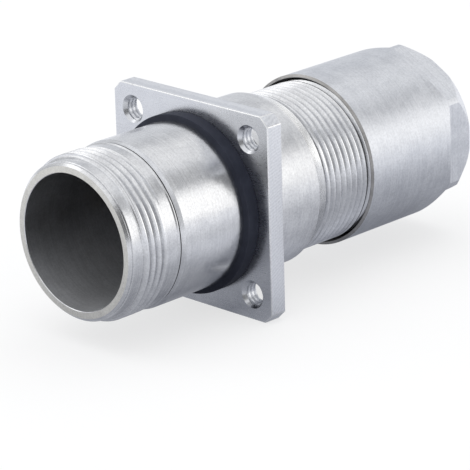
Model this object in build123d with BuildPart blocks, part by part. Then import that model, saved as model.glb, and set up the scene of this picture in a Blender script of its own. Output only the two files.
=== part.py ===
# Panel-mounted circular connector with an M16 coupling tube, a square flange and a rear clamp nut.
# Millimetres. The connector's axis is Y: the mating end points to -Y, the cable end to +Y, +Z is up.
# The origin is the centre of the flange's front face, on the connector's axis.

import os
from build123d import *

os.makedirs("parts", exist_ok=True)

# Thread form, shared by the coupling end, the rear end and the clamp nut
pitch = 0.75
thread_depth = 0.43
thread_crest = 0.11
thread_root = 0.10

# Coupling tube
tube_length = 15.24
tube_r = 8.05
bore_r = 6.5
rim_face_r = 7.15
rim_r = 7.38
rim_length = 0.34
rim_chamfer = 0.24
pilot_r = 7.5
pilot_length = 1.35
coupling_r = 7.93
first_root = 2.21
coupling_turns = 3
coupling_length = 4.2
band_r = 7.84
band_length = 1.38
lip_rise = 0.12
lip_width = 0.10
snap_groove = 0.16
shoulder_length = 0.35

# Flange
flange_width = 20.0
flange_thickness = 1.85
flange_corner = 0.89
flange_edge = 0.1
screw_spacing = 15.07
screw_minor_r = 1.03
screw_rim_r = 1.37

# Rear collar and rear thread
collar_r = 8.45
collar_length = 6.65
collar_cone = 1.3
collar_cone_r = 8.0
relief_width = 0.4
relief_r = 7.55
rear_thread_r = 7.93
rear_thread_length = 9.8
rear_first_root = 0.61
rear_bore_r = 6.9
rear_edge = 0.2

# Gasket round the tube, against the flange
gasket_thickness = 1.38
gasket_width = 0.6
gasket_edge = 0.18

# Contact insert and its seal
mating_depth = 11.24
seal_thickness = 0.6
seal_width = 0.62
insert_front_length = 3.4
insert_rear_length = 5.0
insert_clearance = 0.08
insert_edge = 0.25

# Socket contacts
outer_contacts = 6
contact_circle_r = 4.25
contact_r = 0.75
contact_bore_r = 0.5
contact_recess = 0.5
socket_depth = 4.0
contact_collar_r = 1.05
contact_collar_length = 1.2
contact_clearance = 0.05
crimp_length = 2.6
crimp_bore_r = 0.5
crimp_bore_depth = 2.8
contact_slot = 0.2
contact_slot_length = 2.4

# Spacer halves and shield rings
spacer_wall = 0.8
shield_ring_length = 1.2
shield_gap = 0.15
shield_ring_r = 4.9
shield_cone = 0.55

# Clamp nut
nut_r = 8.5
nut_length = 15.41
nut_engagement = 4.09
nut_clearance = 0.09
nut_face_r = 8.3
nut_front_chamfer = 0.15
nut_wall = 1.71
nut_cavity_r = 7.0
nut_run_out = 0.9
hex_length = 3.02
hex_across_flats = 15.0
nut_rear_r = 7.54
nut_rear_chamfer = 1.6
cable_hole_r = 4.2
cable_hole_edge = 0.4

# Thrust ring, clamp cage and cable seal, which the nut pushes forward
tighten_turns = 7
end_gap = 0.35
ring_gap = 0.06
thrust_ring_thickness = 0.6
cage_clearance = 0.1
cage_base_length = 1.35
finger_length = 6.5
finger_r = 6.6
finger_inner_r = 5.4
finger_count = 8
finger_slot = 0.8
finger_tip = 0.3
cable_seal_r = 3.5
cable_seal_clearance = 0.1
cable_seal_edge = 0.4

# Places along the axis, from the coupling end to the cable end
front_y = -tube_length
coupling_start = front_y + rim_length + pilot_length
coupling_end = front_y + coupling_length
band_end = coupling_end + band_length
lip_start = band_end + lip_rise
lip_end = lip_start + lip_width
shoulder_start = lip_end + snap_groove
shoulder_end = shoulder_start + shoulder_length
collar_end = flange_thickness + collar_length
cone_end = collar_end + collar_cone
relief_end = cone_end + relief_width
shell_rear = relief_end + rear_thread_length
nut_front = shell_rear - nut_engagement
nut_rear = nut_front + nut_length
hex_start = nut_rear - hex_length

# Places of the parts inside: the insert from the front, the clamp from the rear, the spacer between
insert_face = front_y + mating_depth
insert_body = insert_face + seal_thickness
insert_split = insert_body + insert_front_length
insert_end = insert_split + insert_rear_length
tighten_travel = tighten_turns * pitch
nut_seat = nut_rear - nut_wall
thrust_rear = nut_seat - ring_gap
thrust_front = thrust_rear - thrust_ring_thickness
cage_rear = thrust_front
cage_shelf = cage_rear - cage_base_length
cage_front = cage_shelf - finger_length
shield_end = cage_front - tighten_travel - end_gap
shield_split = shield_end - shield_ring_length
spacer_end = shield_split - shield_gap - shield_ring_length
insert_r = rear_bore_r - insert_clearance
seal_inner_r = insert_r - seal_width


def thread_grooves(crest_r, roots, depth=thread_depth):
    """Cuts one sharp-sided groove per root out of the profile that is being drawn."""
    half_mouth = (pitch - thread_crest) / 2
    half_root = thread_root / 2
    over = 0.05
    for root in roots:
        Polygon(
            (crest_r - depth, root - half_root),
            (crest_r, root - half_mouth),
            (crest_r + over, root - half_mouth),
            (crest_r + over, root + half_mouth),
            (crest_r, root + half_mouth),
            (crest_r - depth, root + half_root),
            align=None,
            mode=Mode.SUBTRACT,
        )


def ring(inner_r, outer_r, start, end):
    """Adds the upright half section of a plain ring about the Y axis."""
    with Locations(((inner_r + outer_r) / 2, (start + end) / 2)):
        Rectangle(outer_r - inner_r, end - start)


# Housing: coupling tube, flange, collar and rear thread, turned and milled from one bar
coupling_roots = [front_y + first_root + pitch * turn for turn in range(coupling_turns)]
first_rear_root = relief_end + rear_first_root
rear_turns = int((shell_rear - rear_edge - first_rear_root) / pitch) + 1
rear_roots = [first_rear_root + pitch * turn for turn in range(rear_turns)]

with BuildPart() as shell:
    with BuildSketch() as shell_section:
        with BuildLine():
            Polyline(
                (bore_r, front_y),
                (rim_face_r, front_y),
                (rim_r, front_y + rim_chamfer),
                (rim_r, front_y + rim_length),
                (pilot_r, front_y + rim_length),
                (pilot_r, coupling_start),
                (coupling_r, coupling_start + rim_chamfer / 2),
                (coupling_r, coupling_end),
                (band_r, coupling_end),
                (band_r, band_end),
                (band_r + lip_rise, lip_start),
                (band_r + lip_rise, lip_end),
                (band_r, lip_end + snap_groove / 2),
                (band_r, shoulder_start),
                (tube_r, shoulder_end),
                (tube_r, 0),
                (tube_r, flange_thickness),
                (collar_r, flange_thickness),
                (collar_r, collar_end),
                (collar_cone_r, cone_end),
                (relief_r, cone_end + rear_edge / 2),
                (relief_r, relief_end - rear_edge / 2),
                (rear_thread_r, relief_end),
                (rear_thread_r, shell_rear - rear_edge),
                (rear_thread_r - rear_edge, shell_rear),
                (rear_bore_r + rear_edge, shell_rear),
                (rear_bore_r, shell_rear - rear_edge),
                (rear_bore_r, insert_face),
                (bore_r, insert_face),
                close=True,
            )
        make_face()
        thread_grooves(coupling_r, coupling_roots)
        thread_grooves(rear_thread_r, rear_roots)
    revolve(axis=Axis.Y)
    with BuildSketch(Plane.XZ) as flange_outline:
        Rectangle(flange_width, flange_width)
        chamfer(flange_outline.vertices(), flange_corner)
        Circle((rear_bore_r + tube_r) / 2, mode=Mode.SUBTRACT)
    extrude(amount=-flange_thickness)
    straight_edges = shell.edges().filter_by(GeomType.LINE)
    flange_rims = straight_edges.filter_by(lambda edge: abs(edge.tangent_at(0).Y) < 0.5)
    chamfer(flange_rims, flange_edge)
    with Locations(Plane.XZ):
        with GridLocations(screw_spacing, screw_spacing, 2, 2):
            Hole(screw_minor_r)
    screw_rims = shell.edges().filter_by(GeomType.CIRCLE).filter_by(lambda edge: edge.radius < screw_rim_r)
    # The countersink stays within the metal beside its hole
    side_wall = (flange_width - screw_spacing) / 2 - screw_minor_r
    collar_wall = screw_spacing / 2 ** 0.5 - collar_r - screw_minor_r
    countersink = min(screw_rim_r - screw_minor_r, side_wall - 2 * flange_edge, collar_wall - flange_edge)
    chamfer(screw_rims, countersink)
shell.part.label = "shell"

# Rubber gasket that seals the panel, slipped over the tube against the flange
with BuildPart() as flange_gasket:
    with BuildSketch():
        ring(tube_r, tube_r + gasket_width, -gasket_thickness, 0)
    revolve(axis=Axis.Y)
    gasket_rims = flange_gasket.edges().filter_by(GeomType.CIRCLE)
    chamfer(gasket_rims.filter_by(lambda edge: edge.radius > tube_r + gasket_width / 2), gasket_edge)
flange_gasket.part.label = "flange_gasket"

# Flat seal between the insert and the housing's inner shoulder
with BuildPart() as insert_seal:
    with BuildSketch():
        ring(seal_inner_r, insert_r, insert_face, insert_body)
    revolve(axis=Axis.Y)
insert_seal.part.label = "insert_seal"

# Where the contacts stand: one in the middle, the others on a circle
contact_places = [(0, 0)]
contact_ring = PolarLocations(contact_circle_r, outer_contacts)
contact_places += [(place.position.X, place.position.Y) for place in contact_ring]
contact_hole_r = contact_r + contact_clearance
collar_hole_r = contact_collar_r + contact_clearance
collar_rear = insert_split + contact_collar_length

# Front half of the insert: a short nose inside the seal and a body behind it
with BuildPart() as insert_front:
    with BuildSketch():
        ring(0, seal_inner_r - insert_clearance, insert_face, insert_body)
        ring(0, insert_r, insert_body, insert_split)
    revolve(axis=Axis.Y)
    face_rim = insert_front.edges().filter_by(GeomType.CIRCLE).sort_by(Axis.Y)[0]
    chamfer(face_rim, insert_edge)
    with BuildSketch(Plane.XZ.offset(-insert_face)):
        with Locations(*contact_places):
            Circle(contact_hole_r)
    extrude(amount=-(insert_split - insert_face), mode=Mode.SUBTRACT)
insert_front.part.label = "insert_front"

# Rear half of the insert, which traps the contact collars
with BuildPart() as insert_rear:
    with BuildSketch():
        ring(0, insert_r, insert_split, insert_end)
    revolve(axis=Axis.Y)
    rear_rim = insert_rear.edges().filter_by(GeomType.CIRCLE).sort_by(Axis.Y)[-1]
    chamfer(rear_rim, insert_edge)
    with BuildSketch(Plane.XZ.offset(-insert_split)):
        with Locations(*contact_places):
            Circle(contact_hole_r)
    extrude(amount=-insert_rear_length, mode=Mode.SUBTRACT)
    with BuildSketch(Plane.XZ.offset(-insert_split)):
        with Locations(*contact_places):
            Circle(collar_hole_r)
    extrude(amount=-contact_collar_length, mode=Mode.SUBTRACT)
insert_rear.part.label = "insert_rear"


def make_contact(label):
    """One turned socket on the axis: a slotted spring socket, a collar and a crimp barrel."""
    socket_face = insert_face + contact_recess
    crimp_end = insert_end + crimp_length
    with BuildPart() as contact:
        with BuildSketch():
            ring(0, contact_r, socket_face, crimp_end)
            ring(0, contact_collar_r, insert_split, collar_rear)
            with Locations((0, socket_face + socket_depth / 2)):
                Rectangle(2 * contact_bore_r, socket_depth, mode=Mode.SUBTRACT)
            with Locations((0, crimp_end - crimp_bore_depth / 2)):
                Rectangle(2 * crimp_bore_r, crimp_bore_depth, mode=Mode.SUBTRACT)
        revolve(axis=Axis.Y)
        with Locations((0, socket_face + contact_slot_length / 2, 0)):
            Box(3 * contact_r, contact_slot_length, contact_slot, mode=Mode.SUBTRACT)
    contact.part.label = label
    return contact.part


contacts = []
for number, (x, z) in enumerate(contact_places, start=1):
    contact = make_contact(f"contact_{number}")
    contacts.append(contact.moved(Location((x, 0, -z))))

# Spacer sleeve in two half shells, which holds the insert on its shoulder
with BuildPart() as spacer_sleeve:
    with BuildSketch():
        ring(insert_r - spacer_wall, insert_r, insert_end, spacer_end)
    revolve(axis=Axis.Y)
with BuildPart() as spacer_upper:
    add(spacer_sleeve.part)
    split(bisect_by=Plane.XY, keep=Keep.TOP)
with BuildPart() as spacer_lower:
    add(spacer_sleeve.part)
    split(bisect_by=Plane.XY, keep=Keep.BOTTOM)
spacer_upper.part.label = "spacer_upper"
spacer_lower.part.label = "spacer_lower"

# Two shield rings with matching cones, between which the cable's screen is pinched
with BuildPart() as shield_ring_front:
    with BuildSketch():
        with BuildLine():
            Polyline(
                (shield_ring_r, spacer_end),
                (insert_r, spacer_end),
                (insert_r, spacer_end + shield_ring_length),
                (shield_ring_r, spacer_end + shield_ring_length - shield_cone),
                close=True,
            )
        make_face()
    revolve(axis=Axis.Y)
shield_ring_front.part.label = "shield_ring_front"

with BuildPart() as shield_ring_rear:
    with BuildSketch():
        with BuildLine():
            Polyline(
                (shield_ring_r, shield_split - shield_cone),
                (insert_r, shield_split),
                (insert_r, shield_end),
                (shield_ring_r, shield_end),
                close=True,
            )
        make_face()
    revolve(axis=Axis.Y)
shield_ring_rear.part.label = "shield_ring_rear"

# Clamp cage: a base ring with fingers that close on the seal
with BuildPart() as clamp_cage:
    with BuildSketch():
        ring(cable_hole_r, nut_cavity_r - cage_clearance, cage_shelf, cage_rear)
        ring(finger_inner_r, finger_r, cage_front, cage_shelf)
    revolve(axis=Axis.Y)
    tip_rim = clamp_cage.edges().filter_by(GeomType.CIRCLE).group_by(Axis.Y)[0].sort_by(SortBy.RADIUS)[-1]
    chamfer(tip_rim, finger_tip)
    with BuildSketch(Plane.XZ.offset(-cage_front)):
        with PolarLocations((finger_inner_r + finger_r) / 2, finger_count):
            Rectangle(2 * (finger_r - finger_inner_r), finger_slot)
    extrude(amount=-(finger_length - finger_slot), mode=Mode.SUBTRACT)
clamp_cage.part.label = "clamp_cage"

# Rubber cable seal inside the cage
with BuildPart() as cable_seal:
    with BuildSketch():
        ring(cable_seal_r, finger_inner_r - cable_seal_clearance, cage_front, cage_shelf)
    revolve(axis=Axis.Y)
    seal_middle_r = (cable_seal_r + finger_inner_r) / 2
    seal_rims = cable_seal.edges().filter_by(GeomType.CIRCLE)
    chamfer(seal_rims.filter_by(lambda edge: edge.radius < seal_middle_r), cable_seal_edge)
cable_seal.part.label = "cable_seal"

# Thrust ring between the cage and the turning nut
with BuildPart() as thrust_ring:
    with BuildSketch():
        ring(cable_hole_r, nut_cavity_r - cage_clearance, thrust_front, thrust_rear)
    revolve(axis=Axis.Y)
thrust_ring.part.label = "thrust_ring"

# Clamp nut: a turned cap with six spanner flats at the cable end
nut_bore_r = rear_thread_r + nut_clearance
nut_thread_end = shell_rear + tighten_travel + nut_run_out
with BuildPart() as clamp_nut:
    with BuildSketch():
        with BuildLine():
            Polyline(
                (nut_bore_r, nut_front),
                (nut_face_r, nut_front),
                (nut_r, nut_front + nut_front_chamfer),
                (nut_r, nut_rear - nut_rear_chamfer),
                (nut_rear_r, nut_rear),
                (cable_hole_r, nut_rear),
                (cable_hole_r, nut_seat),
                (nut_cavity_r, nut_seat),
                (nut_cavity_r, nut_thread_end + nut_bore_r - nut_cavity_r),
                (nut_bore_r, nut_thread_end),
                close=True,
            )
        make_face()
    revolve(axis=Axis.Y)
    hole_rim = clamp_nut.edges().filter_by(GeomType.CIRCLE).group_by(Axis.Y)[-1].sort_by(SortBy.RADIUS)[0]
    chamfer(hole_rim, cable_hole_edge)
    # Each flat runs up to the round part on a slope of 45 degrees
    flat_r = hex_across_flats / 2
    with BuildPart(mode=Mode.PRIVATE) as flat_cutter:
        with BuildSketch():
            Polygon(
                (flat_r, hex_start),
                (flat_r + nut_r, hex_start - nut_r),
                (flat_r + nut_r, nut_rear + nut_r),
                (flat_r, nut_rear + nut_r),
                align=None,
            )
        extrude(amount=nut_r, both=True)
    for flat in range(6):
        add(flat_cutter.part.rotate(Axis.Y, 60 * flat), mode=Mode.SUBTRACT)
clamp_nut.part.label = "clamp_nut"

pieces = [
    shell.part,
    flange_gasket.part,
    insert_seal.part,
    insert_front.part,
    insert_rear.part,
    *contacts,
    spacer_upper.part,
    spacer_lower.part,
    shield_ring_front.part,
    shield_ring_rear.part,
    clamp_cage.part,
    cable_seal.part,
    thrust_ring.part,
    clamp_nut.part,
]
for piece in pieces:
    export_step(piece, f"parts/{piece.label}.step")
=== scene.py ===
import math

import bmesh
import bpy
from mathutils import Matrix, Vector


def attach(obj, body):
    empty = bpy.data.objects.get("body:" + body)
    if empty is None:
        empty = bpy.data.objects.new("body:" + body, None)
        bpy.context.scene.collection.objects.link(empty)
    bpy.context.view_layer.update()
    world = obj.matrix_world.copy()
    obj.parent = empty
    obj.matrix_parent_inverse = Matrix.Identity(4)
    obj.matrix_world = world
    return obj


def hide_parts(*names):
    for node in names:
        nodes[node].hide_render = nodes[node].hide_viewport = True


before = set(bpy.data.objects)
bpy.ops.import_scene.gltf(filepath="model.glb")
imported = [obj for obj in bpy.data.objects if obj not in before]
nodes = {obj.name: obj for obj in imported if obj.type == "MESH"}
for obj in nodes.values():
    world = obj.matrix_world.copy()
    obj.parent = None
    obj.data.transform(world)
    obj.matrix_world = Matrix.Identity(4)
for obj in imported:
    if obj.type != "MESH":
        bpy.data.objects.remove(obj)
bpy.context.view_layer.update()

# Panel-mounted circular connector, lying on a white floor. Shapes are drawn in millimetres, with the
# connector's axis along Y, and scaled to metres when a piece is finished.
millimetre = 0.001

camera = {
    "azimuth": 44.582,      # degrees round the object, 0 looks along +Y
    "elevation": 19.339,
    "roll": -1.637,
    "distance": 293.375,    # mm from the flange's centre, before the two shifts
    "shiftRight": 4.016,
    "shiftUp": -3.189,
    "focalPixels": 3137.6,  # focal length in pixels of a picture 470 wide
    "picturePixels": 470,
    "sensor": 36.0,
    "clip": (0.01, 10.0),   # m
}


def makeCamera(c):
    azimuth, elevation, roll = (math.radians(c[k]) for k in ("azimuth", "elevation", "roll"))
    back = Vector((math.sin(azimuth) * math.cos(elevation), -math.cos(azimuth) * math.cos(elevation),
                   math.sin(elevation)))
    level = Vector((math.cos(azimuth), math.sin(azimuth), 0))
    upright = back.cross(level)
    right = level * math.cos(roll) + upright * math.sin(roll)
    up = upright * math.cos(roll) - level * math.sin(roll)
    place = (back * c["distance"] + right * c["shiftRight"] + up * c["shiftUp"]) * millimetre
    data = bpy.data.cameras.new("camera")
    data.sensor_width = c["sensor"]
    data.lens = c["sensor"] * c["focalPixels"] / c["picturePixels"]
    data.clip_start, data.clip_end = c["clip"]
    made = bpy.data.objects.new("camera", data)
    made.matrix_world = Matrix.Translation(place) @ Matrix((right, up, back)).transposed().to_4x4()
    bpy.context.scene.collection.objects.link(made)
    bpy.context.scene.camera = made


makeCamera(camera)
print("camera placed")


# Node helpers

def startTree(name):
    material = bpy.data.materials.new(name)
    material.use_nodes = True
    tree = material.node_tree
    return material, tree, tree.nodes["Principled BSDF"]


def addNode(tree, kind, **settings):
    node = tree.nodes.new(kind)
    for key, value in settings.items():
        setattr(node, key, value)
    return node


def objectNoise(tree, scale, detail=2.0, roughness=0.5):
    # Noise on Object coordinates, with its own scale along X, Y and Z in cells per metre
    coords = addNode(tree, "ShaderNodeTexCoord")
    mapping = addNode(tree, "ShaderNodeMapping")
    mapping.inputs["Scale"].default_value = scale
    noise = addNode(tree, "ShaderNodeTexNoise")
    noise.inputs["Scale"].default_value = 1.0
    noise.inputs["Detail"].default_value = detail
    noise.inputs["Roughness"].default_value = roughness
    tree.links.new(coords.outputs["Object"], mapping.inputs["Vector"])
    tree.links.new(mapping.outputs["Vector"], noise.inputs["Vector"])
    return noise.outputs["Fac"]


def mapRange(tree, socket, low, high, toLow, toHigh, smooth=False):
    node = addNode(tree, "ShaderNodeMapRange", clamp=True)
    if smooth:
        node.interpolation_type = "SMOOTHSTEP"
    node.inputs["From Min"].default_value = low
    node.inputs["From Max"].default_value = high
    node.inputs["To Min"].default_value = toLow
    node.inputs["To Max"].default_value = toHigh
    tree.links.new(socket, node.inputs["Value"])
    return node.outputs["Result"]


def mixColour(tree, factor, first, second):
    node = addNode(tree, "ShaderNodeMix", data_type="RGBA")
    tree.links.new(factor, node.inputs["Factor"])
    for socket, colour in ((node.inputs["A"], first), (node.inputs["B"], second)):
        if hasattr(colour, "links"):
            tree.links.new(colour, socket)
        else:
            socket.default_value = (*colour, 1)
    return node.outputs["Result"]


def calculate(tree, first, second, operation="ADD"):
    node = addNode(tree, "ShaderNodeMath", operation=operation)
    for socket, value in zip(node.inputs, (first, second)):
        if hasattr(value, "links"):
            tree.links.new(value, socket)
        else:
            socket.default_value = value
    return node.outputs["Value"]


def addBump(tree, height, micrometres, before=None):
    node = addNode(tree, "ShaderNodeBump")
    node.inputs["Strength"].default_value = 1.0
    node.inputs["Distance"].default_value = micrometres * 1e-6
    tree.links.new(height, node.inputs["Height"])
    if before:
        tree.links.new(before, node.inputs["Normal"])
    return node.outputs["Normal"]


# Finishes

blotchScale = (700, 560, 700)       # cells per metre along X, Y and Z
speckScale = (5000, 5000, 5000)
flowScale = (600, 900, 600)
skinScale = (9000, 9000, 9000)
paintedThreadShading = (0.84, 1.06)         # painted shade and light: a thread's roots are darker than its crests by these factors

finishes = {
    "nickel": (0.800, 0.805, 0.815),
    "nickelShade": (0.690, 0.695, 0.712),
    # a bluer, darker copy of the nickel for the nut: painted blue reflection and painted shade
    "cap": (0.765, 0.778, 0.808),
    "capShade": (0.670, 0.684, 0.718),
    # a lighter copy of the nickel for edges and slopes: painted glint
    "wearAndGlint": (0.900, 0.903, 0.905),
    "glintShade": (0.800, 0.805, 0.812),
    # the flange's front and back get a darker copy of the nickel and its sides a lighter, bluer one: painted
    # shade and painted light
    "milled": (0.745, 0.756, 0.785),
    "milledShade": (0.690, 0.702, 0.732),
    "side": (0.835, 0.846, 0.875),
    "sideShade": (0.770, 0.782, 0.815),
    # a warmer, darker copy of the nickel: painted cream reflection on the rim's front face
    "rim": (0.730, 0.715, 0.665),
    "rimShade": (0.670, 0.655, 0.610),
    "bore": (0.530, 0.536, 0.550),
    "boreShade": (0.460, 0.466, 0.480),
    # a near-black copy of the nickel: painted shade in the nut's inside and the tube's snap groove
    "inside": (0.140, 0.138, 0.135),
    "insideShade": (0.090, 0.088, 0.086),
    # a darker copy of the nickel: painted shade on the nut's front face and mouth
    "mouth": (0.440, 0.430, 0.420),
    "mouthShade": (0.350, 0.342, 0.334),
    "gasket": (0.021, 0.024, 0.038),
    "gasketWorn": (0.034, 0.038, 0.056),
    "seal": (0.030, 0.030, 0.032),
    "sealWorn": (0.055, 0.055, 0.056),
    "insert": (0.035, 0.035, 0.038),
    "insertFlow": (0.055, 0.055, 0.060),
    "spacer": (0.62, 0.60, 0.55),
    "spacerFlow": (0.70, 0.68, 0.63),
    "cage": (0.075, 0.076, 0.082),
    "cageFlow": (0.11, 0.11, 0.118),
    "gold": (0.90, 0.68, 0.32),
    "goldShade": (0.78, 0.56, 0.24),
}


def cutterArcs(tree, centre, spacing=0.30):
    # Round tool marks about a line along X, with its centre and their spacing in mm
    coords = addNode(tree, "ShaderNodeTexCoord")
    mapping = addNode(tree, "ShaderNodeMapping", vector_type="TEXTURE")
    mapping.inputs["Location"].default_value = [v * millimetre for v in centre]
    wave = addNode(tree, "ShaderNodeTexWave", wave_type="RINGS", rings_direction="X")
    wave.inputs["Scale"].default_value = 2 * math.pi / (20 * spacing * millimetre)
    wave.inputs["Distortion"].default_value = 2.5
    wave.inputs["Detail"].default_value = 3.0
    wave.inputs["Detail Scale"].default_value = 1.5
    tree.links.new(coords.outputs["Object"], mapping.inputs["Vector"])
    tree.links.new(mapping.outputs["Vector"], wave.inputs["Vector"])
    return wave.outputs["Fac"]


def scaleColour(tree, colour, factor):
    node = addNode(tree, "ShaderNodeVectorMath", operation="SCALE")
    tree.links.new(colour, node.inputs[0])
    tree.links.new(factor, node.inputs["Scale"])
    return node.outputs["Vector"]


def nickelFinish(name, light, shade, ringScale, rough, blotches=22.0, rings=0.7, grain=4.5, specks=0.11,
                 depth=None, arcs=None):
    # Nickel over turned or milled metal: soft blotches, tool lines and a satin grain, each with its
    # height in micrometres. Specks is the share by which the grain changes the colour. Depth is a pair
    # of radii in mm between which it gets lighter, a painted shade that darkens a thread's roots. Arcs is
    # the centre in mm of a cutter's round marks, which take the place of the tool lines
    material, tree, shader = startTree(name)
    blotch = objectNoise(tree, blotchScale, detail=3, roughness=0.6)
    ring = cutterArcs(tree, arcs) if arcs else objectNoise(tree, ringScale, detail=3, roughness=0.65)
    speck = objectNoise(tree, speckScale, detail=3, roughness=0.7)
    tone = calculate(tree, calculate(tree, blotch, ring), 0.5, "MULTIPLY")
    colour = mixColour(tree, mapRange(tree, tone, 0.42, 0.58, 0, 1), shade, light)
    colour = scaleColour(tree, colour, mapRange(tree, speck, 0.30, 0.70, 1 - specks, 1 + specks))
    # painted shade: darker towards the smaller radius, at a thread's roots, and lighter at the crests
    if depth:
        coords = addNode(tree, "ShaderNodeTexCoord")
        flatten = addNode(tree, "ShaderNodeVectorMath", operation="MULTIPLY")
        flatten.inputs[1].default_value = (1, 0, 1)
        length = addNode(tree, "ShaderNodeVectorMath", operation="LENGTH")
        tree.links.new(coords.outputs["Object"], flatten.inputs[0])
        tree.links.new(flatten.outputs["Vector"], length.inputs[0])
        low, high = (radius * millimetre for radius in depth)
        colour = scaleColour(tree, colour, mapRange(tree, length.outputs["Value"], low, high, *paintedThreadShading))
    tree.links.new(colour, shader.inputs["Base Color"])
    tree.links.new(mapRange(tree, tone, 0.38, 0.62, rough[0], rough[1]), shader.inputs["Roughness"])
    normal = addBump(tree, blotch, blotches)
    normal = addBump(tree, ring, rings, normal)
    normal = addBump(tree, speck, grain, normal)
    tree.links.new(normal, shader.inputs["Normal"])
    shader.inputs["Metallic"].default_value = 1.0
    return material


def settleDust(material, low, high, least):
    # A dull film in the lower half of a bore, thickest at the low height in mm and gone at the high one
    tree = material.node_tree
    coords = addNode(tree, "ShaderNodeTexCoord")
    axes = addNode(tree, "ShaderNodeSeparateXYZ")
    tree.links.new(coords.outputs["Object"], axes.inputs["Vector"])
    clean = mapRange(tree, axes.outputs["Z"], low * millimetre, high * millimetre, least, 1, smooth=True)
    tree.links.new(clean, tree.nodes["Principled BSDF"].inputs["Metallic"])


def mouldedFinish(name, base, wearAndGlint, rough, bump, gloss=0.4):
    # Moulded rubber or plastic: a dull skin with flow marks and a fine grain
    material, tree, shader = startTree(name)
    flow = objectNoise(tree, flowScale, detail=4, roughness=0.6)
    skin = objectNoise(tree, skinScale)
    colour = mixColour(tree, mapRange(tree, flow, 0.40, 0.66, 0, 1), base, wearAndGlint)
    tree.links.new(colour, shader.inputs["Base Color"])
    tree.links.new(mapRange(tree, flow, 0.3, 0.7, rough[0], rough[1]), shader.inputs["Roughness"])
    normal = addBump(tree, flow, bump * 3)
    normal = addBump(tree, skin, bump, normal)
    tree.links.new(normal, shader.inputs["Normal"])
    shader.inputs["Specular IOR Level"].default_value = gloss
    return material


f = finishes
turnedNickel = nickelFinish("turned nickel", f["nickel"], f["nickelShade"], (60, 9000, 60), (0.19, 0.27),
                            specks=0.09)
satinNickel = nickelFinish("satin nickel", f["nickel"], f["nickelShade"], (60, 7000, 60), (0.29, 0.36), 14.0,
                           specks=0.13)
# the nut's nickel is bluer and darker than the shell's, a painted blue reflection and painted shade
capNickel = nickelFinish("cap nickel", f["cap"], f["capShade"], (60, 7000, 60), (0.33, 0.41), 14.0)
# the flange's faces take a darker nickel and its sides a lighter one: painted shade and light, with real
# cutter marks and roughness
milledNickel = nickelFinish("milled nickel", f["milled"], f["milledShade"], (260, 260, 7000), (0.24, 0.32),
                            10.0, grain=1.8, specks=0.06)
sideNickel = nickelFinish("milled side nickel", f["side"], f["sideShade"], None, (0.38, 0.48), 10.0, 1.1,
                          grain=3.2, specks=0.09, arcs=(0, 7.0, -15.0))
threadNickel = nickelFinish("thread nickel", f["nickel"], f["nickelShade"], (60, 7000, 60), (0.15, 0.22),
                            8.0, depth=(7.50, 7.93))
# painted reflection: the rim face's warmer, darker nickel stands for the cream floor it reflects
rimNickel = nickelFinish("rim nickel", f["rim"], f["rimShade"], (900, 60, 900), (0.26, 0.34), 8.0)
# painted glint: a lighter copy of the nickel for edges and slopes that catch the light
paintedGlintNickel = nickelFinish("painted glint nickel", f["wearAndGlint"], f["glintShade"], (900, 900, 900), (0.20, 0.30), 6.0)
boreNickel = nickelFinish("bore nickel", f["bore"], f["boreShade"], (60, 7000, 60), (0.32, 0.40), 6.0)
settleDust(boreNickel, -6.0, 0.5, 0.38)
# painted shade: a near-black copy of the nickel for the nut's inside and the tube's snap groove
paintedShadeNickel = nickelFinish("painted shade nickel", f["inside"], f["insideShade"], (60, 7000, 60), (0.42, 0.52), 6.0)
# painted shade: a darker copy of the nickel for the nut's front face and mouth
mouthNickel = nickelFinish("nut mouth", f["mouth"], f["mouthShade"], (900, 60, 900), (0.26, 0.34), 6.0)
gasketRubber = mouldedFinish("gasket rubber", f["gasket"], f["gasketWorn"], (0.52, 0.68), 1.6, 0.22)
sealRubber = mouldedFinish("seal rubber", f["seal"], f["sealWorn"], (0.50, 0.68), 2.0)
insertPlastic = mouldedFinish("insert plastic", f["insert"], f["insertFlow"], (0.42, 0.58), 1.2)
spacerPlastic = mouldedFinish("spacer plastic", f["spacer"], f["spacerFlow"], (0.38, 0.52), 1.0)
cagePlastic = mouldedFinish("cage plastic", f["cage"], f["cageFlow"], (0.40, 0.55), 1.4)
innerNickel = nickelFinish("inner nickel", f["nickel"], f["nickelShade"], (60, 8000, 60), (0.24, 0.34), 6.0)
contactGold = nickelFinish("contact gold", f["gold"], f["goldShade"], (900, 12000, 900), (0.16, 0.26), 1.5)
print("finishes made")


# Shape helpers, in millimetres

weldDistance = 1e-5        # points of a turned shape that are closer are one
slimmestEdge = 1e-6
cutWeldDistance = 1e-4     # the same where a cut leaves slivers
beyond = 1.0               # how far a cutter stands out of what it cuts
near = 0.01                # room for rounding when faces are sorted by place
sharpAngle = 13            # degrees; faces that meet at less are shaded as one


def turn(outline, steps):
    # A closed outline of (radius, place along the axis) spun round the Y axis
    made = bmesh.new()
    corners = [made.verts.new((radius, place, 0)) for radius, place in outline]
    sides = [made.edges.new(pair) for pair in zip(corners, corners[1:] + corners[:1])]
    bmesh.ops.spin(made, geom=corners + sides, cent=(0, 0, 0), axis=(0, 1, 0), dvec=(0, 0, 0),
                   angle=2 * math.pi, steps=steps, use_merge=True)
    bmesh.ops.remove_doubles(made, verts=made.verts, dist=weldDistance)
    bmesh.ops.dissolve_degenerate(made, dist=slimmestEdge, edges=made.edges)
    bmesh.ops.recalc_face_normals(made, faces=made.faces)
    return made


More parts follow.
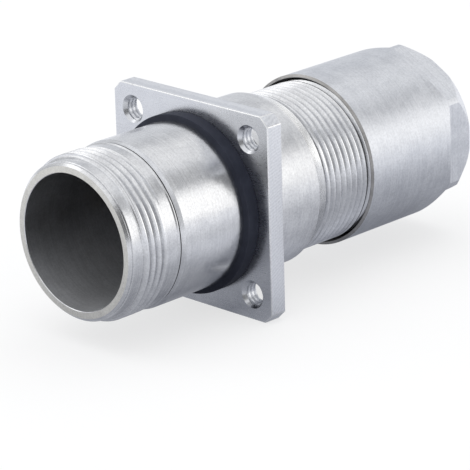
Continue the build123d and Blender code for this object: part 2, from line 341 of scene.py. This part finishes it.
def sweepThread(section, pitch, stepsPerTurn, steps, startStep=0, lift=None):
    # A closed section carried along a right-hand helix round the Y axis; lift(step) moves it outward
    made = bmesh.new()
    face = made.faces.new([made.verts.new((radius, place, 0)) for radius, place in section])
    bmesh.ops.spin(made, geom=[face, *face.edges, *face.verts], cent=(0, 0, 0), axis=(0, 1, 0),
                   dvec=(0, pitch / stepsPerTurn, 0), angle=2 * math.pi * steps / stepsPerTurn, steps=steps)
    made.verts.ensure_lookup_table()
    if lift:
        for number, vertex in enumerate(made.verts):
            radius = math.hypot(vertex.co.x, vertex.co.z)
            stretch = (radius + lift(number // len(section))) / radius
            vertex.co.x *= stretch
            vertex.co.z *= stretch
    bmesh.ops.rotate(made, verts=made.verts, cent=(0, 0, 0),
                     matrix=Matrix.Rotation(2 * math.pi * startStep / stepsPerTurn, 3, "Y"))
    bmesh.ops.recalc_face_normals(made, faces=made.faces)
    return made


def grooveSection(crest, depth, place, pitch, land, root, over):
    # A trapezoid that cuts one thread groove, from its root to a little above the crest
    halfRoot = root / 2
    halfMouth = (pitch - land) / 2
    halfTop = halfMouth + (halfMouth - halfRoot) / depth * over
    return [(crest - depth, place - halfRoot), (crest + over, place - halfTop),
            (crest + over, place + halfTop), (crest - depth, place + halfRoot)]


def gather(target, part, offset=(0, 0, 0)):
    # Adds one shape to another without joining them
    bmesh.ops.translate(part, vec=offset, verts=part.verts)
    mesh = bpy.data.meshes.new("part")
    part.to_mesh(mesh)
    target.from_mesh(mesh)
    bpy.data.meshes.remove(mesh)
    part.free()


def combine(body, tool, operation="DIFFERENCE"):
    # Cuts one closed shape out of another, or joins the two
    objects = []
    for name, shape in (("body", body), ("tool", tool)):
        mesh = bpy.data.meshes.new(name)
        shape.to_mesh(mesh)
        shape.free()
        made = bpy.data.objects.new(name, mesh)
        bpy.context.scene.collection.objects.link(made)
        objects.append(made)
    cut = objects[0].modifiers.new("cut", "BOOLEAN")
    cut.object, cut.operation, cut.solver = objects[1], operation, "EXACT"
    result = bpy.data.meshes.new_from_object(objects[0].evaluated_get(bpy.context.evaluated_depsgraph_get()))
    made = bmesh.new()
    made.from_mesh(result)
    bpy.data.meshes.remove(result)
    for old in objects:
        mesh = old.data
        bpy.data.objects.remove(old)
        bpy.data.meshes.remove(mesh)
    bmesh.ops.remove_doubles(made, verts=made.verts, dist=cutWeldDistance)
    bmesh.ops.dissolve_degenerate(made, dist=cutWeldDistance, edges=made.edges)
    return made


def finishPiece(name, shape, materials, body, replaced):
    # Scales a shape to metres, shades it and hangs it on its CAD body
    bmesh.ops.scale(shape, vec=(millimetre,) * 3, verts=shape.verts)
    mesh = bpy.data.meshes.new(name)
    shape.to_mesh(mesh)
    shape.free()
    for material in materials:
        mesh.materials.append(material)
    mesh.shade_smooth()
    mesh.set_sharp_from_angle(angle=math.radians(sharpAngle))
    piece = bpy.data.objects.new(name, mesh)
    bpy.context.scene.collection.objects.link(piece)
    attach(piece, body)
    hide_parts(*replaced)
    mesh.calc_loop_triangles()
    print(name, "made with", len(mesh.loop_triangles), "triangles")


# Shell: coupling tube, flange, collar and rear thread in one

shell = {
    "steps": 192,
    "tubeLength": 15.24,
    "tube": 8.05,
    "bore": 6.5,
    "rimFace": 7.15,
    "rim": 7.38,
    "rimEnd": 0.34,
    "rimChamfer": 0.24,
    "pilot": 7.5,
    "pilotEnd": 1.64,
    "pilotFillet": 0.32,
    "filletSteps": 6,
    "coupling": 7.93,
    "couplingEnd": 4.2,
    "band": 7.84,
    "bandEnd": 5.58,
    "lipStart": 5.70,
    "lipEnd": 5.80,
    "lipRise": 0.09,
    "grooveEnd": 5.96,
    "grooveDepth": 0.16,
    "shoulderRise": 0.05,
    "shoulderEnd": 6.40,
    "flange": 20.0,
    "flangeThickness": 1.85,
    "flangeCorner": 0.89,
    "flangeEdge": 0.1,
    "holeSpacing": 15.07,
    "collar": 8.45,
    "collarEnd": 8.5,
    "coneEnd": 9.8,
    "cone": 8.0,
    "relief": 7.55,
    "reliefEnd": 10.2,
    "rearThread": 7.93,
    "rear": 20.0,
    "rearBore": 6.9,
    "wallOverlap": 0.4,          # how far the flange runs into the tube's wall
    "insertFace": -4.0,
    "edge": 0.2,
    "breakEdge": 0.05,
}

thread = {
    "pitch": 0.75,
    "depth": 0.43,
    "land": 0.11,
    "root": 0.10,
    "over": 0.05,
    "couplingDepth": 0.41,
    "couplingFirst": -13.02,     # a root's place at the +X side
    "couplingStartStep": -240,
    "couplingEndPlace": -10.80,
    "couplingFadeSteps": 26,
    "rearFirst": 10.08,
    "rearShallow": 0.27,
    "rearFadeSteps": 200,
}

screwHole = {
    "minor": 1.03,
    "major": 1.25,
    "rim": 1.37,
    "pitch": 0.45,
    "steps": 32,
    "land": 0.06,
    "root": 0.05,
    "tapOverlap": 0.08,
}


def hollowCorner(radius, place, size, steps):
    # Points of a hollow rounding where a cylinder meets a wall that faces the front
    angles = [math.pi / 2 * step / steps for step in range(steps + 1)]
    return [(radius + size * (1 - math.cos(a)), place - size * (1 - math.sin(a))) for a in angles]


def makeShellBlank(s):
    front = -s["tubeLength"]
    b = s["breakEdge"]
    return turn([
        (s["bore"], front + b),
        (s["bore"] + b, front),
        (s["rimFace"], front),
        (s["rim"], front + s["rimChamfer"]),
        (s["rim"], front + s["rimEnd"]),
        (s["pilot"] - b, front + s["rimEnd"]),
        (s["pilot"], front + s["rimEnd"] + b),
        *hollowCorner(s["pilot"], front + s["pilotEnd"], s["pilotFillet"], s["filletSteps"]),
        (s["coupling"] - b, front + s["pilotEnd"]),
        (s["coupling"], front + s["pilotEnd"] + b),
        (s["coupling"], front + s["couplingEnd"] - b),
        (s["band"], front + s["couplingEnd"]),
        (s["band"], front + s["bandEnd"]),
        (s["band"] + s["lipRise"], front + s["lipStart"]),
        (s["band"] + s["lipRise"], front + s["lipEnd"]),
        (s["band"] - s["grooveDepth"], front + s["lipEnd"]),
        (s["band"] - s["grooveDepth"], front + s["grooveEnd"]),
        (s["band"] + s["shoulderRise"], front + s["grooveEnd"]),
        (s["tube"], front + s["shoulderEnd"]),
        (s["tube"], 0),
        (s["tube"], s["flangeThickness"] / 2),
        (s["collar"], s["flangeThickness"] / 2),
        (s["collar"], s["collarEnd"] - b),
        (s["collar"] - b / 2, s["collarEnd"]),
        (s["cone"], s["coneEnd"]),
        (s["relief"] + b, s["coneEnd"] + b),
        (s["relief"], s["coneEnd"] + 2 * b),
        (s["relief"], s["reliefEnd"] - 2 * b),
        (s["rearThread"] - s["edge"], s["reliefEnd"] - b),
        (s["rearThread"], s["reliefEnd"] + b),
        (s["rearThread"], s["rear"] - s["edge"]),
        (s["rearThread"] - s["edge"], s["rear"]),
        (s["rearBore"] + s["edge"], s["rear"]),
        (s["rearBore"], s["rear"] - s["edge"]),
        (s["rearBore"], s["insertFace"]),
        (s["bore"], s["insertFace"]),
    ], s["steps"])


def makeFlange(s):
    # A square plate with cut corners and broken edges, open in the middle for the tube's wall
    plate = bmesh.new()
    bmesh.ops.create_cube(plate, size=1)
    bmesh.ops.scale(plate, vec=(s["flange"], s["flangeThickness"], s["flange"]), verts=plate.verts)
    bmesh.ops.translate(plate, vec=(0, s["flangeThickness"] / 2, 0), verts=plate.verts)
    uprights = [e for e in plate.edges if abs(e.verts[0].co.y - e.verts[1].co.y) > s["flangeThickness"] / 2]
    bmesh.ops.bevel(plate, geom=uprights, offset=s["flangeCorner"], offset_type="OFFSET", affect="EDGES",
                    segments=1, profile=0.5, material=-1)
    bmesh.ops.bevel(plate, geom=plate.edges[:], offset=s["flangeEdge"], offset_type="OFFSET",
                    affect="EDGES", segments=3, profile=0.5, material=-1)
    coreRadius = s["rearBore"] + s["wallOverlap"]
    coreEnd = s["flangeThickness"] + beyond
    core = turn([(0, -beyond), (coreRadius, -beyond), (coreRadius, coreEnd), (0, coreEnd)], s["steps"])
    return combine(plate, core)


def makeThreadCutters(s, t):
    # Two helical grooves: the coupling thread's runs out towards the flange, the rear thread's runs in
    cutters = bmesh.new()
    start = t["couplingFirst"] + t["pitch"] * t["couplingStartStep"] / s["steps"]
    steps = round((t["couplingEndPlace"] - start) / t["pitch"] * s["steps"])
    clear = t["couplingDepth"] + t["over"]

    def runOut(step):
        return clear * max(0, step - (steps - t["couplingFadeSteps"])) / t["couplingFadeSteps"]

    section = grooveSection(s["coupling"], t["couplingDepth"], start, t["pitch"], t["land"], t["root"],
                            t["over"])
    gather(cutters, sweepThread(section, t["pitch"], s["steps"], steps, t["couplingStartStep"], runOut))

    def runIn(step):
        return t["rearShallow"] * max(0, 1 - step / t["rearFadeSteps"])

    steps = round((s["rear"] + t["pitch"] - t["rearFirst"]) / t["pitch"] * s["steps"])
    section = grooveSection(s["rearThread"], t["depth"], t["rearFirst"], t["pitch"], t["land"], t["root"],
                            t["over"])
    gather(cutters, sweepThread(section, t["pitch"], s["steps"], steps, 0, runIn))
    return cutters


def makeHoleCutters(s, h):
    # Plain drilled holes with countersinks, and the thread that is tapped in them afterwards
    drills, taps = bmesh.new(), bmesh.new()
    sink = h["rim"] - h["minor"]
    thickness = s["flangeThickness"]
    half = s["holeSpacing"] / 2
    inside = h["minor"] - h["tapOverlap"]
    section = [(inside, -h["pitch"] / 2 + h["land"]), (inside, h["pitch"] / 2 - h["land"]),
               (h["major"], h["root"] / 2), (h["major"], -h["root"] / 2)]
    turns = thickness / h["pitch"] + 1
    for x, z in ((-half, -half), (-half, half), (half, -half), (half, half)):
        drill = turn([(0, -beyond), (h["rim"] + beyond, -beyond), (h["minor"], sink),
                      (h["minor"], thickness - sink), (h["rim"] + beyond, thickness + beyond),
                      (0, thickness + beyond)], h["steps"])
        gather(drills, drill, (x, 0, z))
        tap = sweepThread(section, h["pitch"], h["steps"], round(turns * h["steps"]))
        gather(taps, tap, (x, -h["pitch"] / 2, z))
    return drills, taps


shellFinishes = {
    "turned": turnedNickel,
    "flange": milledNickel,
    "bore": boreNickel,
    "collar": satinNickel,
    "rim": rimNickel,
    "thread": threadNickel,
    "wearAndGlint": paintedGlintNickel,
    "flangeSide": sideNickel,
    "groove": paintedShadeNickel,
}


def shellFinish(face, s):
    # The finish of one face, from where it lies and which way it faces
    centre = face.calc_center_median()
    behindRim = centre.y + s["tubeLength"]
    radius = math.hypot(centre.x, centre.z)
    widest = max(math.hypot(v.co.x, v.co.z) for v in face.verts)
    inward = centre.x * face.normal.x + centre.z * face.normal.z < 0
    inBore = widest < s["rearBore"] + s["wallOverlap"] and behindRim > 2 * s["breakEdge"]
    if inBore and (inward or abs(face.normal.y) > 0.5):
        return "bore"
    if -near < centre.y < s["flangeThickness"] + near and widest > s["collar"] + s["breakEdge"]:
        # Round the flange's outside, the broken edges are those that face neither straight nor at 45
        # degrees; they take the lighter nickel, a painted glint
        outermost = max(abs(centre.x), abs(centre.z)) > s["flange"] / 2 - s["flangeCorner"] - s["flangeEdge"]
        broken = 0.1 < abs(face.normal.y) < 0.99 or 0.1 < min(abs(face.normal.x), abs(face.normal.z)) < 0.69
        if outermost and broken:
            return "wearAndGlint"
        # the flange's sides take a lighter nickel than its front and back: painted light and shade, besides
        # the real cutter arcs
        return "flangeSide" if outermost and abs(face.normal.y) < 0.1 else "flange"
    # the snap groove behind the lip takes the near-black nickel, a painted shade
    if s["lipEnd"] - near < behindRim < s["grooveEnd"] + near and radius < s["tube"]:
        return "groove"
    onCoupling = s["pilotEnd"] < behindRim < s["couplingEnd"]
    if radius < s["rearThread"] + near and (onCoupling or centre.y > s["coneEnd"]):
        return "thread"
    if centre.y > s["flangeThickness"]:
        # the collar's cone takes the lighter nickel, a painted highlight
        return "wearAndGlint" if s["collarEnd"] < centre.y < s["coneEnd"] else "collar"
    # the rim's front face takes the warmer, darker nickel, a painted cream reflection
    return "rim" if face.normal.y < -0.9 and behindRim < near else "turned"


def makeShell(s, t, h):
    made = combine(makeShellBlank(s), makeFlange(s), "UNION")
    drills, taps = makeHoleCutters(s, h)
    gather(drills, makeThreadCutters(s, t))
    made = combine(made, drills)
    made = combine(made, taps)
    order = list(shellFinishes)
    for face in made.faces:
        face.material_index = order.index(shellFinish(face, s))
    finishPiece("shell_body", made, shellFinishes.values(), "housing", ["shell"])


makeShell(shell, thread, screwHole)


# Gasket: a flat rubber ring with rounded edges

gasket = {
    "steps": 144,
    "inner": 8.05,
    "outer": 8.65,
    "front": -1.38,
    "round": 0.07,
}


def makeGasket(g):
    made = turn([(g["inner"], g["front"]), (g["outer"], g["front"]), (g["outer"], 0), (g["inner"], 0)],
                g["steps"])
    rims = [e for e in made.edges if abs(e.verts[0].co.y - e.verts[1].co.y) < near
            and all(math.hypot(v.co.x, v.co.z) > g["outer"] - near for v in e.verts)]
    bmesh.ops.bevel(made, geom=rims, offset=g["round"], offset_type="OFFSET", affect="EDGES", segments=3,
                    profile=0.5, material=-1)
    bmesh.ops.recalc_face_normals(made, faces=made.faces)
    finishPiece("gasket_ring", made, [gasketRubber], "housing", ["flange_gasket"])


makeGasket(gasket)


# Clamp nut: a turned cap with six milled flats

nut = {
    "steps": 240,
    "front": 15.91,
    "rear": 31.32,
    "outer": 8.5,
    "face": 8.32,
    "frontChamfer": 0.15,
    "bore": 8.02,
    "mouth": 8.21,
    "mouthDepth": 0.8,
    "threadEnd": 26.15,
    "cavity": 7.0,
    "seat": 29.61,
    "rearFace": 7.54,
    "rearChamfer": 1.6,
    "cableHole": 4.2,
    "cableHoleEdge": 0.4,
    "cableHoleRound": 0.12,
    "flats": 15.0,
    "flatStart": 28.3,
    "flatRoom": 0.2,
    "breakEdge": 0.05,
}


nutFinishes = {
    "cap": capNickel,
    "inside": paintedShadeNickel,
    "mouth": mouthNickel,
    "wearAndGlint": paintedGlintNickel,
}


def nutFinish(face, n):
    # The finish of one face; the slopes where the flats run out take the lighter nickel, a painted glint
    centre = face.calc_center_median()
    inward = centre.x * face.normal.x + centre.z * face.normal.z < 0
    # the nut's front face and mouth take a darker nickel, a painted shade
    if centre.y < n["front"] + n["frontChamfer"] and not inward:
        return "mouth"
    # the nut's inside faces take the near-black nickel, a painted shade
    if centre.y < n["seat"] + near and (inward or math.hypot(centre.x, centre.z) < n["cavity"]):
        return "inside"
    # the slopes where the flats run out: a painted glint
    if centre.y > n["flatStart"] - n["outer"] + n["flats"] / 2 and -0.8 < face.normal.y < -0.6:
        return "wearAndGlint"
    return "cap"


def makeNut(n):
    b = n["breakEdge"]
    made = turn([
        (n["bore"], n["front"] + n["mouthDepth"]),
        (n["mouth"] - b / 2, n["front"] + b),
        (n["mouth"], n["front"]),
        (n["face"] - b, n["front"]),
        (n["outer"], n["front"] + n["frontChamfer"]),
        (n["outer"], n["rear"] - n["rearChamfer"]),
        (n["rearFace"] + b, n["rear"] - b / 2),
        (n["rearFace"] - b, n["rear"]),
        (n["cableHole"] + n["cableHoleEdge"], n["rear"]),
        (n["cableHole"] + n["cableHoleRound"], n["rear"] - n["cableHoleRound"]),
        (n["cableHole"], n["rear"] - n["cableHoleEdge"]),
        (n["cableHole"], n["seat"]),
        (n["cavity"], n["seat"]),
        (n["cavity"], n["threadEnd"] + n["bore"] - n["cavity"]),
        (n["bore"], n["threadEnd"]),
    ], n["steps"])
    flats = bmesh.new()
    flat = n["flats"] / 2
    reach = 2 * (n["outer"] - flat)
    halfWidth = math.sqrt(n["outer"] ** 2 - flat ** 2) + n["flatRoom"]
    for number in range(6):
        cutter = bmesh.new()
        corners = [(flat, n["flatStart"]), (flat + reach, n["flatStart"] - reach),
                   (flat + reach, n["rear"] + beyond), (flat, n["rear"] + beyond)]
        face = cutter.faces.new([cutter.verts.new((x, y, -halfWidth)) for x, y in corners])
        far = bmesh.ops.extrude_face_region(cutter, geom=[face])["geom"]
        bmesh.ops.translate(cutter, vec=(0, 0, 2 * halfWidth),
                            verts=[v for v in far if isinstance(v, bmesh.types.BMVert)])
        bmesh.ops.rotate(cutter, verts=cutter.verts, cent=(0, 0, 0),
                         matrix=Matrix.Rotation(math.radians(60 * number), 3, "Y"))
        bmesh.ops.recalc_face_normals(cutter, faces=cutter.faces)
        gather(flats, cutter)
    made = combine(made, flats)
    order = list(nutFinishes)
    for face in made.faces:
        face.material_index = order.index(nutFinish(face, n))
    finishPiece("nut_cap", made, nutFinishes.values(), "nut", ["clamp_nut"])


makeNut(nut)


# The pieces inside keep their CAD shape and take a finish each

insideFinishes = {
    "insert_front": insertPlastic,
    "insert_rear": insertPlastic,
    "insert_seal": sealRubber,
    "cable_seal": sealRubber,
    "spacer_upper": spacerPlastic,
    "spacer_lower": spacerPlastic,
    "shield_ring_front": innerNickel,
    "shield_ring_rear": innerNickel,
    "thrust_ring": innerNickel,
    "clamp_cage": cagePlastic,
}
insideFinishes.update({name: contactGold for name in nodes if name.startswith("contact_")})

for name, material in insideFinishes.items():
    nodes[name].data.materials.clear()
    nodes[name].data.materials.append(material)
print("inner pieces finished")


# Floor, world and lamps

studio = {
    "floorHeight": -10.0,      # mm, under the flange's lower edge
    "floorSize": 3.0,          # m
    "floorWhite": (0.98, 0.98, 0.98),
    # floorNear and floorFar: the floor's colour for all but camera rays, a painted shadow dark by the object
    # and light away from it
    "floorNear": (0.240, 0.250, 0.285),
    "floorFar": (0.94, 0.955, 1.00),
    "underside": (4.0, 9.5),   # mm, middle of the line along which the painted shadow on the floor seen in the metal is darkest
    "undersideHalf": 17.5,
    "undersideReach": 70.0,
    "undersideCurve": 0.62,    # under 1 the painted shadow lightens soon
    # (x, y, reach, shade): painted pools of light under the collar and beside the flange
    "spots": [(5.0, 9.0, 6.5, 1.5), (17.0, 9.0, 13.0, 1.4)],
    "spotCore": 0.2,           # share of its reach over which a spot is even
    "floorGlow": 0.70,         # share of the floor's white that is its own light, to the camera
    "floorGlowSeen": 0.85,     # and in the metal
    "lampPlace": (-0.10, 0.05, 0.80),     # m
    "lampSize": 1.0,           # m
    "lampPower": 2.4,          # W
}


def makeFloor(s):
    shape = bmesh.new()
    bmesh.ops.create_grid(shape, x_segments=1, y_segments=1, size=s["floorSize"] / 2)
    bmesh.ops.translate(shape, vec=(0, 0, s["floorHeight"] * millimetre), verts=shape.verts)
    mesh = bpy.data.meshes.new("floor")
    shape.to_mesh(mesh)
    shape.free()
    floor = bpy.data.objects.new("floor", mesh)
    bpy.context.scene.collection.objects.link(floor)
    material, tree, shader = startTree("floor")
    shader.inputs["Roughness"].default_value = 0.9
    shader.inputs["Specular IOR Level"].default_value = 0.0
    glow = addNode(tree, "ShaderNodeEmission")
    glow.inputs["Strength"].default_value = 1.0
    path = addNode(tree, "ShaderNodeLightPath")
    coords = addNode(tree, "ShaderNodeTexCoord")

    def awayFrom(x, y, half=0.0):
        # Distance on the floor from a line of twice that half length along Y, in metres
        vector = coords.outputs["Object"]
        for operation, second in (("MULTIPLY", (1, 1, 0)), ("SUBTRACT", (x * millimetre, y * millimetre, 0)),
                                  ("ABSOLUTE", None), ("SUBTRACT", (0, half * millimetre, 0)),
                                  ("MAXIMUM", (0, 0, 0))):
            node = addNode(tree, "ShaderNodeVectorMath", operation=operation)
            tree.links.new(vector, node.inputs[0])
            if second:
                node.inputs[1].default_value = second
            vector = node.outputs["Vector"]
        length = addNode(tree, "ShaderNodeVectorMath", operation="LENGTH")
        tree.links.new(vector, length.inputs[0])
        return length.outputs["Value"]

    # A painted shadow of the object on the floor, with painted pools of light, seen by every ray but the
    # camera's; the camera sees floorWhite
    away = awayFrom(*s["underside"], s["undersideHalf"])
    share = mapRange(tree, away, 0, s["undersideReach"] * millimetre, 0, 1)
    curved = calculate(tree, share, s["undersideCurve"], "POWER")
    paintedShadowAndLight = mixColour(tree, curved, s["floorNear"], s["floorFar"])
    for x, y, reach, shade in s["spots"]:
        edge = reach * millimetre
        lit = mapRange(tree, awayFrom(x, y), s["spotCore"] * edge, edge, shade, 1)
        paintedShadowAndLight = scaleColour(tree, paintedShadowAndLight, lit)
    colour = mixColour(tree, path.outputs["Is Camera Ray"], paintedShadowAndLight, s["floorWhite"])
    tree.links.new(colour, shader.inputs["Base Color"])
    tree.links.new(colour, glow.inputs["Color"])
    mix = addNode(tree, "ShaderNodeMixShader")
    toCamera = calculate(tree, path.outputs["Is Camera Ray"], s["floorGlow"], "MULTIPLY")
    shining = calculate(tree, path.outputs["Is Glossy Ray"], path.outputs["Is Transmission Ray"])
    toMetal = calculate(tree, shining, s["floorGlowSeen"], "MULTIPLY")
    tree.links.new(calculate(tree, toCamera, toMetal), mix.inputs["Fac"])
    tree.links.new(shader.outputs["BSDF"], mix.inputs[1])
    tree.links.new(glow.outputs["Emission"], mix.inputs[2])
    tree.links.new(mix.outputs["Shader"], tree.nodes["Material Output"].inputs["Surface"])
    mesh.materials.append(material)


# What the metal sees of the studio: each patch covers what is before it
skyBase = (0.62, 0.63, 0.65)
skyPatches = [
    # (direction, inner angle, outer angle, level, blue)
    ((0.0, 0.0, 1.0), 25, 60, 0.90, 0.05),
    ((0.0, -1.0, 0.30), 40, 80, 0.95, 0.02),
    ((-0.78, -0.51, 0.36), 5, 17, 1.40, 0.0),
    ((-0.66, -0.33, 0.67), 5, 15, 1.60, 0.0),
    ((0.66, -0.67, 0.33), 12, 28, 0.17, 0.0),
    ((-0.72, 0.67, 0.17), 12, 30, 0.74, 0.07),
    ((-0.09, 0.67, 0.735), 10, 21, 0.93, 0.02),
    ((0.40, 0.67, 0.62), 3, 14, 0.52, 0.03),
    ((0.15, 0.985, 0.04), 12, 28, 1.55, -0.01),
    ((-0.35, 0.913, 0.21), 5, 15, 1.15, 0.0),
    ((-0.07, 0.977, 0.20), 2, 8, 0.60, 0.02),
    ((0.70, 0.67, 0.25), 8, 22, 1.42, -0.015),
]


def makeWorld(base, patches):
    world = bpy.data.worlds.new("studio")
    bpy.context.scene.world = world
    world.use_nodes = True
    tree = world.node_tree
    background = tree.nodes["Background"]
    coords = addNode(tree, "ShaderNodeTexCoord")
    colour = base
    for direction, inner, outer, level, blue in patches:
        dot = addNode(tree, "ShaderNodeVectorMath", operation="DOT_PRODUCT")
        tree.links.new(coords.outputs["Generated"], dot.inputs[0])
        dot.inputs[1].default_value = Vector(direction).normalized()
        share = mapRange(tree, dot.outputs["Value"], math.cos(math.radians(outer)),
                         math.cos(math.radians(inner)), 0, 1, smooth=True)
        colour = mixColour(tree, share, colour, (level, level * (1 + blue / 3), level * (1 + blue)))
    path = addNode(tree, "ShaderNodeLightPath")
    direct = calculate(tree, path.outputs["Is Camera Ray"], path.outputs["Is Transmission Ray"])
    seen = mixColour(tree, direct, colour, (1, 1, 1))
    tree.links.new(seen, background.inputs["Color"])
    background.inputs["Strength"].default_value = 1.0


def makeLamp(name, place, aim, size, power):
    data = bpy.data.lights.new(name, "AREA")
    data.shape = "SQUARE"
    data.size = size
    data.energy = power
    lamp = bpy.data.objects.new(name, data)
    lamp.location = place
    lamp.rotation_mode = "QUATERNION"
    lamp.rotation_quaternion = (Vector(aim) - Vector(place)).to_track_quat("-Z", "Y")
    lamp.visible_glossy = False
    bpy.context.scene.collection.objects.link(lamp)


makeFloor(studio)
makeWorld(skyBase, skyPatches)
makeLamp("overhead", studio["lampPlace"], (0, 0, 0), studio["lampSize"], studio["lampPower"])
bpy.context.scene.view_settings.view_transform = "Standard"
print("studio lit")
